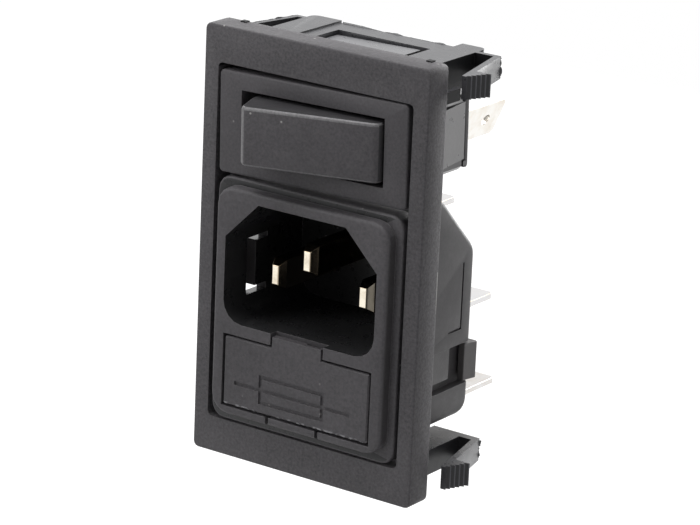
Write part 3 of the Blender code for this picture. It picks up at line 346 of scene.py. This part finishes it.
def within(values, band):
    """Which values lie between a band's two ends."""
    return (values > band[0]) & (values < band[1])


# A pale streak painted on the bezel's right side along its back edge: a painted highlight where that edge
# catches the light.
HIGHLIGHT_X = 0.01735
HIGHLIGHT_Y = (-0.00032, -0.00008)
HIGHLIGHT_Z = (-0.0036, 0.0020)
HIGHLIGHT_SOFT = 0.00005
bezel_matt = moulded("bezel_matt", (0.060, 0.057, 0.061), 0.60, 0.32, 1.0, 0.45, 0.25)
tree, place, spot = spots(bezel_matt)
edge_highlight = ramp(tree, spot["X"], HIGHLIGHT_X, HIGHLIGHT_X + 2.0 * HIGHLIGHT_SOFT)
for socket, (low, high) in (("Y", HIGHLIGHT_Y), ("Z", HIGHLIGHT_Z)):
    for start, end in ((low, low + HIGHLIGHT_SOFT), (high, high - HIGHLIGHT_SOFT)):
        edge_highlight = sums(tree, "MULTIPLY", edge_highlight, ramp(tree, spot[socket], start, end))
torn = ramp(tree, noise(tree, place, 2200.0, 2.0), 0.25, 0.5)
lay_wear_and_highlight(tree, sums(tree, "MULTIPLY", edge_highlight, torn), (0.24, 0.23, 0.22))
rear_smooth = moulded("carrier_rear_smooth", (0.047, 0.047, 0.051), 0.30, 0.10, 0.3, 0.10, 0.6)
# The pale radii of the mouldings: partly rubbed wear, partly a painted highlight along the edges.
edge_wear_and_highlight = moulded("edge_wear_and_highlight", (0.080, 0.077, 0.080), 0.46, 0.34, 1.0, 0.30, 0.35)
# Painted shade: a near-black finish laid where shade falls, in the corner pockets, on the ledges and on the
# switch roof.
pocket_painted_shade = moulded("carrier_pocket_painted_shade", (0.010, 0.010, 0.011), 0.40, 0.10, 0.1, 0.06, 0.10)
# Painted shade: a dark finish for the pads' flutes and the low corner pockets.
flute_painted_shade = moulded("pad_flutes_painted_shade", (0.014, 0.014, 0.016), 0.36, 0.10, 0.1, 0.06, 0.3)

# The pads' flutes slope back; they carry painted shade, with a paler painted highlight along their crests.
FLUTE_SLOPE = 0.4375
FLUTE_MIDDLE = 0.01864
FLUTE_HALF = 0.0002
CREST_HIGHLIGHT = (0.01883, 0.01891)
PAD_Y = (0.0013, 0.0043)
PAD_FROM = 0.024
tree, place, spot = spots(flute_painted_shade)
back = sums(tree, "MULTIPLY", spot["Y"], FLUTE_SLOPE)
proud = sums(tree, "SUBTRACT", sums(tree, "ABSOLUTE", spot["X"], 0.0), back)
lay_wear_and_highlight(tree, ramp(tree, proud, *CREST_HIGHLIGHT), (0.085, 0.085, 0.095))

# Where the other finishes lie: behind the bezel, and the painted shade in the corner pockets and on the
# ledges below them.
BEZEL_BACK = 0.0001
POCKET_X = (0.0129, 0.016)
POCKET_Y = (0.0003, 0.0126)
POCKET_FROM = 0.0246
LEDGE_X = (0.0140, 0.0152)
LEDGE_Z = (0.0225, 0.0241)
LEDGE_REAR = 0.0067


def carrier_skin(middle):
    """A finish for each face by its middle: matt in front, smooth behind, painted shade at the corners.

    The pockets and ledges at the top get the darkest painted shade; the low pockets get the flutes' painted
    shade.
    """
    x, y, z = np.abs(middle.T)
    top = middle[:, 2] > 0.0
    flute = (z > PAD_FROM) & within(y, PAD_Y) & (np.abs(x - FLUTE_SLOPE * y - FLUTE_MIDDLE) < FLUTE_HALF)
    pocket = (z > POCKET_FROM) & within(x, POCKET_X) & within(y, POCKET_Y)
    ledge = top & within(z, LEDGE_Z) & within(x, LEDGE_X) & (y < LEDGE_REAR)
    behind = np.where(middle[:, 1] > BEZEL_BACK, 1, 0)
    return np.where(flute | (pocket & ~top), 3, np.where((pocket & top) | ledge, 2, behind))


carrier_looks = [bezel_matt, rear_smooth, pocket_painted_shade, flute_painted_shade, edge_wear_and_highlight]
filleted("carrier_frame", 0.00012, carrier_looks, choose=carrier_skin)

# Moulding flash: thin torn fins that the worn tool leaves on the carrier's rear edges.
# They are part of the carrier, a few tenths of a millimetre proud, and never trimmed.
FIN_STEPS = 90
FIN_ROWS = 3
FIN_KNOTS = 16
FIN_ROUGH = 0.12
FIN_LEAST = 0.04
FIN_WALL = 0.00007


def flash_fin(name, start, end, out, reach, seed):
    """A ragged fin along an edge: point = edge point at u + out * reach * tear(u) * v, for v from 0 to 1.

    start, end and reach are in millimetres. tear(u) runs in straight lines between random heights at
    random places, roughened a little at each step, so that the free edge looks torn.
    """
    along = np.linspace(0.0, 1.0, FIN_STEPS)[:, None]
    rng = np.random.default_rng(seed)
    knots = np.interp(along[:, 0], np.sort(rng.random(FIN_KNOTS)), rng.random(FIN_KNOTS) ** 2)
    tear = np.clip(knots + FIN_ROUGH * rng.random(FIN_STEPS), FIN_LEAST, 1.0)[:, None]
    start, end, out = (np.array(value) * 0.001 for value in (start, end, out))
    edge = start + (end - start) * along
    across = np.linspace(0.0, 1.0, FIN_ROWS)[None, :, None]
    grid = edge[:, None, :] + out * reach * tear[:, :, None] * across
    points = grid.reshape(-1, 3)
    row, column = np.meshgrid(np.arange(FIN_STEPS - 1), np.arange(FIN_ROWS - 1), indexing="ij")
    first = (row * FIN_ROWS + column).reshape(-1)
    faces = np.stack([first, first + FIN_ROWS, first + FIN_ROWS + 1, first + 1], axis=1)
    mesh = bpy.data.meshes.new(name)
    mesh.from_pydata(points.tolist(), [], faces.tolist())
    mesh.materials.append(rear_smooth)
    piece = bpy.data.objects.new(name, mesh)
    bpy.context.scene.collection.objects.link(piece)
    wall = piece.modifiers.new("wall", "SOLIDIFY")
    wall.thickness = FIN_WALL
    wall.offset = 0.0
    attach(piece, "module")


flash_fin("flash_wall", (-9.0, 14.28, 27.05), (9.2, 14.28, 27.05), (0.0, 0.35, 1.0), 0.22, 4)
flash_fin("flash_low_arm", (16.6, 13.08, -24.5), (16.6, 13.08, -27.2), (1.0, 0.6, 0.0), 0.26, 7)
flash_fin("flash_high_arm", (16.6, 13.08, 27.3), (16.6, 13.08, 24.6), (1.0, 0.6, 0.0), 0.24, 9)
flash_fin("flash_left_arm", (-18.6, 5.0, 26.83), (-16.7, 14.5, 26.83), (-0.1, 0.0, 1.0), 0.20, 11)

# The switch: a housing that snaps into the carrier, closed at the back by a base welded to it.
# Both are the same black plastic; the front plate is matt, the snap ramps behind it are polished. The roof
# carries painted shade and the lug a paler painted highlight.
plate_matt = moulded("switch_plate_matt", (0.056, 0.053, 0.057), 0.58, 0.18, 0.5, 0.28, 0.25)
ramp_gloss = moulded("switch_ramp_gloss", (0.058, 0.056, 0.058), 0.32, 0.05, 0.2, 0.06, 0.6)
lug_painted_highlight = moulded("switch_lug_painted_highlight", (0.105, 0.105, 0.112), 0.30, 0.08, 0.3, 0.06, 0.8)
# The roof between these heights gets painted shade; faces above LUG_FROM are the lug with its painted
# highlight.
ROOF_Z = (0.0211, 0.0223)
LUG_FROM = 0.0262


def switch_skin(middle):
    """A finish by each face's middle: matt in front, polished behind, painted shade on the roof, a painted
    highlight on the lug.
    """
    y, z = middle[:, 1], middle[:, 2]
    behind = np.where(z > LUG_FROM, 3, np.where(within(z, ROOF_Z), 2, 1))
    return np.where(y > BEZEL_BACK, behind, 0)


switch_looks = [plate_matt, ramp_gloss, pocket_painted_shade, lug_painted_highlight, edge_wear_and_highlight]
filleted("switch_housing", 0.0001, switch_looks, choose=switch_skin)
filleted("switch_base", 0.00006, [ramp_gloss, edge_wear_and_highlight])

# The rocker: a moulded cap with soft radii all round, resting with its right half pressed in.
# Its left and top radii carry a painted highlight; its top and right flanks carry painted shade.
rocker_matt = moulded("rocker_matt", (0.050, 0.047, 0.051), 0.52, 0.24, 0.9, 0.32, 0.3)
rocker_painted_highlight = moulded("rocker_highlight_edges", (0.105, 0.102, 0.106), 0.42, 0.30, 0.9, 0.32, 0.4)
rocker_painted_shade = moulded("rocker_painted_shade", (0.026, 0.025, 0.027), 0.46, 0.15, 0.5, 0.20, 0.2)
# The switch sits turned by about 1.3 degrees: its top edge rises by HINGE_LEAN for each unit of x.
# A face is on a radius if it lies past the first number and in front of the second.
HINGE_LEAN = 0.0227
LEFT_RADIUS = (-0.0072, -0.0080)
TOP_RADIUS = (0.02025, -0.0040)
TOP_FLANK = 0.02062
RIGHT_FLANK = 0.0106


def rocker_skin(middle):
    """A finish by each face's middle: a painted highlight on the left and top radii, painted shade on the
    top and right flanks.
    """
    x, y, z = middle.T
    level = z - HINGE_LEAN * x
    left = (x < LEFT_RADIUS[0]) & (y < LEFT_RADIUS[1])
    top = (level > TOP_RADIUS[0]) & (y < TOP_RADIUS[1])
    return np.where((x > RIGHT_FLANK) | (level > TOP_FLANK), 2, np.where(left | top, 1, 0))


# The rocker's radii get the painted highlight as well.
rocker_looks = [rocker_matt, rocker_painted_highlight, rocker_painted_shade, rocker_painted_highlight]
filleted("rocker", 0.00042, rocker_looks, 4, 28.0, choose=rocker_skin)

# The rocker's plunger: a turned brass cap with a domed tip. It slides in the rocker's bore, and a coil
# spring of steel wire pushes it against the lever.
TURN_STEPS = 48
TURN_WELD = 0.0000005
TURN_SHARP = math.radians(40.0)


def revolved(name, profile, axis, centre, look, node):
    """A turned piece: point = centre + axis * along + (side * cos a + up * sin a) * radius.

    The angle a runs once round. profile lists (along, radius) in millimetres from one end to the other;
    a radius of 0 closes a pole.
    """
    axis = np.array(axis, float) / np.linalg.norm(axis)
    side = np.cross(axis, (0.0, 0.0, 1.0))
    side /= np.linalg.norm(side)
    up = np.cross(axis, side)
    turn = np.linspace(0.0, 2.0 * np.pi, TURN_STEPS, endpoint=False)
    ring = np.cos(turn)[:, None] * side + np.sin(turn)[:, None] * up
    shape = np.array(profile, float) * 0.001
    grid = np.array(centre) + shape[:, None, 0:1] * axis + shape[:, None, 1:2] * ring[None, :, :]
    rows = len(shape)
    row, column = np.meshgrid(np.arange(rows - 1), np.arange(TURN_STEPS), indexing="ij")
    here = (row * TURN_STEPS + column).reshape(-1)
    beside = (row * TURN_STEPS + (column + 1) % TURN_STEPS).reshape(-1)
    faces = np.stack([here, beside, beside + TURN_STEPS, here + TURN_STEPS], axis=1)
    mesh = bpy.data.meshes.new(name)
    mesh.from_pydata(grid.reshape(-1, 3).tolist(), [], faces.tolist())
    build = bmesh.new()
    build.from_mesh(mesh)
    bmesh.ops.remove_doubles(build, verts=build.verts, dist=TURN_WELD)
    bmesh.ops.recalc_face_normals(build, faces=build.faces)
    build.to_mesh(mesh)
    build.free()
    mesh.materials.append(look)
    mesh.shade_smooth()
    mesh.set_sharp_from_angle(angle=TURN_SHARP)
    piece = bpy.data.objects.new(name, mesh)
    bpy.context.scene.collection.objects.link(piece)
    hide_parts(node)
    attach(piece, BODY_OF[node])


def measured(node, axis):
    """Middle of a CAD node, and how far it reaches each way along an axis from there (millimetres)."""
    mesh = frame["nodes"][node].data
    points = np.empty(len(mesh.vertices) * 3)
    mesh.vertices.foreach_get("co", points)
    points = points.reshape(-1, 3)
    axis = np.array(axis, float) / np.linalg.norm(axis)
    middle = (points.min(axis=0) + points.max(axis=0)) / 2.0
    reach = (points - middle) @ axis * 1000.0
    return middle, float(reach.min()), float(reach.max())


# Metal: rolled or turned stock, its colour clouded by thin tarnish, with fine drawing lines.
# Each scale is in cells per metre; the lines are noise drawn out along Y.
CLOUD_SCALE = 420.0
LINE_SCALE = 9000.0
DRAWN_OUT = (1.0, 0.06, 1.0)
METAL, ins, outs = group_with(
    "worked_metal",
    [("Vector", "NodeSocketVector", None), ("Colour", "NodeSocketColor", (0.8, 0.8, 0.8, 1.0)),
     ("Tarnish", "NodeSocketColor", (0.4, 0.3, 0.2, 1.0)), ("Amount", "NodeSocketFloat", 0.3),
     ("Roughness", "NodeSocketFloat", 0.25)],
    [("Colour", "NodeSocketColor"), ("Roughness", "NodeSocketFloat"), ("Height", "NodeSocketFloat")])
clouds = noise(METAL, ins.outputs["Vector"], CLOUD_SCALE, 5.0, 0.6)
stretch = METAL.nodes.new("ShaderNodeMapping")
stretch.inputs["Scale"].default_value = DRAWN_OUT
METAL.links.new(ins.outputs["Vector"], stretch.inputs["Vector"])
lines = noise(METAL, stretch.outputs["Vector"], LINE_SCALE, 2.0)
stain = sums(METAL, "MULTIPLY", ramp(METAL, clouds, 0.45, 0.75), ins.outputs["Amount"])
METAL.links.new(blended(METAL, stain, ins.outputs["Colour"], ins.outputs["Tarnish"]), outs.inputs["Colour"])
matted = sums(METAL, "ADD", ramp(METAL, clouds, 0.35, 0.75, 0.0, 0.06), ins.outputs["Roughness"])
METAL.links.new(matted, outs.inputs["Roughness"])
METAL.links.new(lines, outs.inputs["Height"])


LINE_DEPTH = 0.00002


def worked(name, colour, tarnish, amount, rough, bump=0.12):
    """A metal finish: the shared metal group on object coordinates, with a bump for its drawing lines."""
    look = bpy.data.materials.new(name)
    look.use_nodes = True
    tree = look.node_tree
    shader = tree.nodes["Principled BSDF"]
    shader.inputs["Metallic"].default_value = 1.0
    place = tree.nodes.new("ShaderNodeTexCoord")
    skin = tree.nodes.new("ShaderNodeGroup")
    skin.node_tree = METAL
    skin.inputs["Colour"].default_value = (*colour, 1.0)
    skin.inputs["Tarnish"].default_value = (*tarnish, 1.0)
    skin.inputs["Amount"].default_value = amount
    skin.inputs["Roughness"].default_value = rough
    rise = tree.nodes.new("ShaderNodeBump")
    rise.inputs["Strength"].default_value = bump
    rise.inputs["Distance"].default_value = LINE_DEPTH
    tree.links.new(place.outputs["Object"], skin.inputs["Vector"])
    tree.links.new(skin.outputs["Colour"], shader.inputs["Base Color"])
    tree.links.new(skin.outputs["Roughness"], shader.inputs["Roughness"])
    tree.links.new(skin.outputs["Height"], rise.inputs["Height"])
    tree.links.new(rise.outputs["Normal"], shader.inputs["Normal"])
    return look


turned_brass = worked("turned_brass", (0.72, 0.55, 0.28), (0.35, 0.22, 0.10), 0.4, 0.25)
spring_wire = worked("spring_wire", (0.60, 0.60, 0.60), (0.30, 0.28, 0.26), 0.3, 0.30)
PLUNGER_AXIS = (0.2163839, -0.976296, 0.0049104)
PLUNGER_R = 1.1
PLUNGER_CHAMFER = (0.15, 0.12)
middle, back, front = measured("rocker_plunger", PLUNGER_AXIS)
dome = np.linspace(0.0, 1.0, 9)
profile = [(back + PLUNGER_R * (1 - math.cos(step * math.pi / 2)), PLUNGER_R * math.sin(step * math.pi / 2))
           for step in dome]
profile += [(front - PLUNGER_CHAMFER[0], PLUNGER_R), (front, PLUNGER_R - PLUNGER_CHAMFER[1]), (front, 0.0)]
revolved("visual_rocker_plunger", profile, PLUNGER_AXIS, middle, turned_brass, "rocker_plunger")


def refinish(node, look):
    """Gives a carried-over CAD node its own finish in every slot."""
    mesh = frame["nodes"][node].data
    if not mesh.materials:
        mesh.materials.append(look)
    for index in range(len(mesh.materials)):
        mesh.materials[index] = look


refinish("plunger_spring", spring_wire)

# The contact lever: a stamped brass strip that rocks on the common terminal, with a silver contact
# riveted at its live end; the fixed contact opposite is riveted to the live terminal.
lever_brass = worked("lever_brass", (0.70, 0.53, 0.27), (0.33, 0.20, 0.09), 0.5, 0.30)
contact_silver = worked("contact_silver", (0.82, 0.80, 0.76), (0.22, 0.20, 0.18), 0.6, 0.28)
filleted("contact_lever", 0.00006, [lever_brass, lever_brass])
filleted("moving_contact", 0.00008, [contact_silver, contact_silver])
filleted("fixed_contact", 0.00008, [contact_silver, contact_silver])

# The switch terminals: stamped brass blades, nickel plated, twisted behind the base and coined round the
# edge. Slots in the switch base hold them.
blade_nickel = worked("blade_nickel", (0.79, 0.775, 0.74), (0.60, 0.50, 0.38), 0.5, 0.32, 0.05)
blade_edge = worked("blade_edge", (0.66, 0.60, 0.52), (0.50, 0.42, 0.32), 0.4, 0.34, 0.05)
filleted("common_terminal", 0.00016, [blade_nickel, blade_edge])
filleted("live_terminal", 0.00016, [blade_nickel, blade_edge])

# The inlet: one deep moulding with the mouth in front and the fuse bay below, closed at the back by a
# cover. The front is matt, the sides come smoother from the tool, with their rear corners rounded.
# Painted shade darkens the mouth and the front's right side; the slots get a paler painted highlight.
inlet_matt = moulded("inlet_front_matt", (0.056, 0.053, 0.057), 0.56, 0.20, 0.6, 0.30, 0.25)
inlet_side_and_shade = moulded("inlet_side_smooth_and_painted_shade", (0.037, 0.035, 0.037), 0.48, 0.10, 0.3, 0.08, 0.3)
mouth_polished_painted_shade = moulded("mouth_polished_painted_shade", (0.018, 0.018, 0.019), 0.30, 0.04, 0.2, 0.05, 0.25)
slot_gloss_painted_highlight = moulded("inlet_slot_painted_highlight", (0.080, 0.078, 0.080), 0.14, 0.05, 0.1, 0.02, 1.0)
MOUTH_HALF = 0.01215
MOUTH_Y = (-0.0056, 0.0118)
MOUTH_Z = (-0.00995, 0.007)
SLOT_X = (0.0121, 0.0133)
SLOT_MIDDLE = 0.0013
SLOT_HALF = 0.0023
SLOT_Z = (-0.0086, 0.0016)
# The front's right side, past these, gets the side finish as painted shade.
SHADED_SIDE_X = 0.0135
SHADED_SIDE_Y = -0.0042


def inlet_skin(middle):
    """A finish by each face's middle: matt in front, smooth behind the flange, painted shade on the front's
    right side.

    The mouth is polished inside and darkened with painted shade; the slots that free the snap tongues are
    glossy, with a paler painted highlight.
    """
    x, y, z = middle.T
    inside = (np.abs(x) < MOUTH_HALF) & within(y, MOUTH_Y) & within(z, MOUTH_Z)
    slot = within(np.abs(x), SLOT_X) & within(z, SLOT_Z) & (np.abs(y - SLOT_MIDDLE) < SLOT_HALF)
    smooth = (y > BEZEL_BACK) | ((x > SHADED_SIDE_X) & (y < SHADED_SIDE_Y))
    return np.where(inside, 2, np.where(slot, 3, np.where(smooth, 1, 0)))


inlet_looks = [inlet_matt, inlet_side_and_shade, mouth_polished_painted_shade, slot_gloss_painted_highlight, edge_wear_and_highlight]
filleted("inlet_housing", 0.0001, inlet_looks, choose=inlet_skin)
cover_smooth = moulded("inlet_cover_smooth", (0.082, 0.077, 0.078), 0.40, 0.06, 0.3, 0.08, 0.5)
filleted("inlet_cover", 0.00012, [cover_smooth, cover_smooth])

# The three flat pins: solid brass, nickel plated, with pressed chamfers round their tips and rounded
# corners; each is one piece with its rear tab.
pin_nickel = worked("pin_nickel", (0.86, 0.79, 0.66), (0.42, 0.31, 0.18), 0.55, 0.10, 0.02)
tab_nickel = worked("tab_nickel", (0.665, 0.655, 0.655), (0.62, 0.60, 0.56), 0.40, 0.32, 0.05)
chamfer_painted_shade = worked("chamfer_painted_shade", (0.36, 0.30, 0.22), (0.20, 0.15, 0.09), 0.60, 0.10, 0.02)
shaft_painted_shade = worked("shaft_painted_shade", (0.15, 0.135, 0.11), (0.10, 0.08, 0.06), 0.45, 0.08, 0.02)
# From the tip back: the flat tip, its chamfers, the shaft and the rear tab; last the radii. The chamfers and
# radii carry painted shade, the shaft a deeper painted shade.
pin_looks = [pin_nickel, chamfer_painted_shade, shaft_painted_shade, tab_nickel, chamfer_painted_shade]
TIP_DEPTH = 0.0001
TAB_FRONT = 0.0130
# The neutral pin's chamfers get no band of their own and take the shaft's painted shade.
for pin, front, chamfer in (("earth_pin", -0.0042, 0.0012), ("neutral_pin", -0.0014, 0.0),
                            ("line_pin", -0.0014, 0.0012)):
    steps = [front + TIP_DEPTH, front + TIP_DEPTH + chamfer, TAB_FRONT]
    filleted(pin, 0.00016, pin_looks,
             choose=lambda middle, steps=steps: np.digitize(middle[:, 1], steps))

# The fuse clips: bent strips of plated spring brass at each end of the bay. Each springs against one cap
# of the working fuse; one leads to the line pin, the other to the lower rear tab.
clip_nickel = worked("clip_nickel", (0.67, 0.655, 0.64), (0.50, 0.42, 0.32), 0.4, 0.30)
for clip in ("line_fuse_clip", "load_fuse_clip"):
    filleted(clip, 0.00006, [clip_nickel, clip_nickel])

# The fuse drawer: a moulded tray whose flush front carries the sunk fuse symbol; its lower edge is
# scuffed pale by the tool that levers it out.
drawer_matt = moulded("drawer_matt", (0.056, 0.053, 0.057), 0.54, 0.22, 0.6, 0.32, 0.25)
SCUFF_Z = (-0.0211, -0.0207)
SCUFF_Y = (-0.0055, -0.0052)
tree, place, spot = spots(drawer_matt)
low = ramp(tree, spot["Z"], *SCUFF_Z, 1.0, 0.0)
fore = ramp(tree, spot["Y"], *SCUFF_Y, 1.0, 0.0)
torn = ramp(tree, noise(tree, place, 1500.0, 2.0), 0.52, 0.60)
lay_wear_and_highlight(tree, sums(tree, "MULTIPLY", sums(tree, "MULTIPLY", low, fore), torn), (0.42, 0.42, 0.44))
filleted("fuse_drawer", 0.00006, [drawer_matt, drawer_matt])

# The fuses: 5 x 20 mm, a glass tube with a plated cap cemented on each end and a fine wire between.
# One sits in the clips, a spare lies in front of it. Sizes are in millimetres.
FUSE_AXIS = (1.0, 0.0, 0.0)
CAP_R = 2.6
CAP_BORE = 2.35
CAP_END = 0.5
TUBE_R = 2.1
TUBE_BORE = 1.7
fuse_nickel = worked("fuse_nickel", (0.84, 0.82, 0.78), (0.52, 0.46, 0.36), 0.35, 0.22)
fuse_wire = worked("fuse_wire", (0.62, 0.60, 0.58), (0.35, 0.32, 0.30), 0.3, 0.30)
GLASS_INDEX = 1.47
fuse_glass = bpy.data.materials.new("fuse_glass")
fuse_glass.use_nodes = True
tree = fuse_glass.node_tree
shader = tree.nodes["Principled BSDF"]
shader.inputs["Base Color"].default_value = (0.93, 0.97, 0.96, 1.0)
shader.inputs["Transmission Weight"].default_value = 1.0
shader.inputs["IOR"].default_value = GLASS_INDEX
haze = noise(tree, tree.nodes.new("ShaderNodeTexCoord").outputs["Object"], 300.0, 4.0)
tree.links.new(ramp(tree, haze, 0.4, 0.8, 0.02, 0.14), shader.inputs["Roughness"])
for prefix in ("", "spare_"):
    node = prefix + "fuse_tube"
    middle, low, high = measured(node, FUSE_AXIS)
    tube = [(low, TUBE_BORE), (low, TUBE_R), (high, TUBE_R), (high, TUBE_BORE), (low, TUBE_BORE)]
    revolved("visual_" + node, tube, FUSE_AXIS, middle, fuse_glass, node)
    for end in ("line", "load"):
        node = f"{prefix}fuse_cap_{end}"
        middle, low, high = measured(node, FUSE_AXIS)
        half = (high - low) / 2.0
        # From the closed end: its dimple, a rounded shoulder, a rolled groove, the rim and the bore.
        cap = [(half, 0.0), (half - 0.02, 0.5), (half, 0.9), (half, CAP_R - 0.3),
               (half - 0.1, CAP_R - 0.08), (half - 0.35, CAP_R), (0.9, CAP_R), (0.7, CAP_R - 0.07),
               (0.5, CAP_R), (-half + 0.1, CAP_R), (-half, CAP_R - 0.06), (-half, CAP_BORE),
               (half - CAP_END, CAP_BORE), (half - CAP_END, 0.0)]
        outward = math.copysign(1.0, middle[0])
        cap = [(along * outward, radius) for along, radius in cap]
        revolved("visual_" + node, cap, FUSE_AXIS, middle, fuse_nickel, node)
    refinish(prefix + "fuse_wire", fuse_wire)
